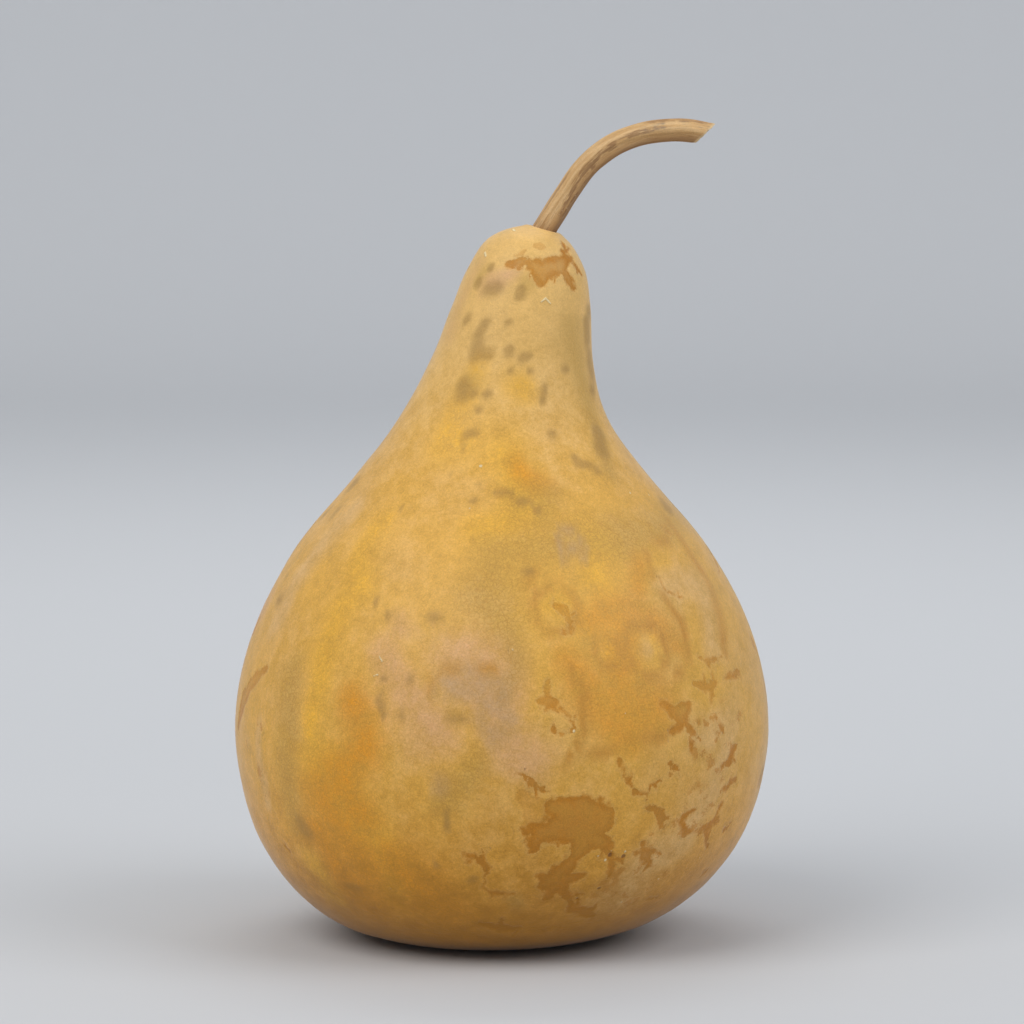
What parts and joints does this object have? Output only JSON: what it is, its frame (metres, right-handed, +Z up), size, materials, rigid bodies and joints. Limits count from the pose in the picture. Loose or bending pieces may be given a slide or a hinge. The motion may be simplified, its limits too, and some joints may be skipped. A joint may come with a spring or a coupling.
{
  "type": "dried gourd",
  "caption": "Pear-shaped hard-shell gourd, dried whole, with a leaning neck and a curved dry stem, standing on a small flat spot.",
  "frame": {"origin": "on the floor, under the middle of the whole object's box; it lies inside the small flat spot that the gourd rests on", "axes": "+Z up through the crown; the front faces -Y; the neck and the stem lean towards +X"},
  "size_m": [0.18, 0.1774, 0.2751],
  "materials": {
    "gourd_skin": "dry waxy skin, satin, mottled ochre with mould spots and worn patches",
    "stem_wood": "dry ridged fibres, matte tan and brown"
  },
  "bodies": {
    "root": {"gourd_body": "gourd_skin", "stem": "stem_wood"}
  },
  "joints": []
}
